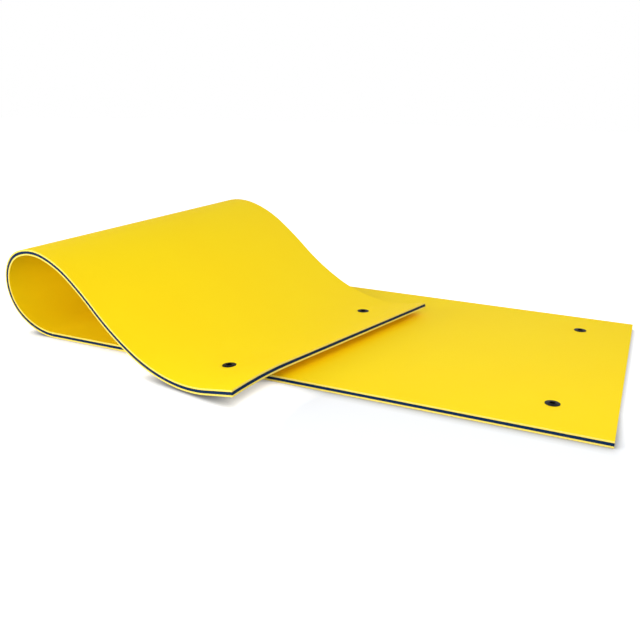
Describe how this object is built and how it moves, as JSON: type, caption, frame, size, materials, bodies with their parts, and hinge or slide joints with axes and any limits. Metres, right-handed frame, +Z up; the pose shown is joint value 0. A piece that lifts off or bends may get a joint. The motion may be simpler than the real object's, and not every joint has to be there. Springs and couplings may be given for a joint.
{
  "type": "foam floating mat",
  "caption": "Large laminated foam water mat with corner grommets, one end folded back over the rest in a rolling loop.",
  "frame": {"origin": "middle of the flat stretch of the underside, on the ground", "axes": "+X along the mat towards the end that lies flat, +Y across it towards the far edge, +Z up"},
  "size_m": [3.3463, 2.2254, 0.617],
  "materials": {
    "foam_yellow": "matte",
    "foam_navy": "matte",
    "moulded_black": "satin"
  },
  "bodies": {
    "run": {"run_bottom_layer": "foam_yellow", "run_core_layer": "foam_navy", "run_top_layer": "foam_yellow", "run_near_grommet": "moulded_black", "run_near_grommet_ring": "moulded_black", "run_far_grommet": "moulded_black", "run_far_grommet_ring": "moulded_black"},
    "flap": {"flap_bottom_layer": "foam_yellow", "flap_core_layer": "foam_navy", "flap_top_layer": "foam_yellow", "flap_near_grommet": "moulded_black", "flap_near_grommet_ring": "moulded_black", "flap_far_grommet": "moulded_black", "flap_far_grommet_ring": "moulded_black"}
  },
  "joints": [
    {"name": "flap_lift", "type": "hinge", "parent": "run", "child": "flap", "pos_m": [-1.11559, -0.18413, 0.4638], "axis": [-0.1742, -0.984, -0.0363], "range_deg": [0, 60]}
  ]
}
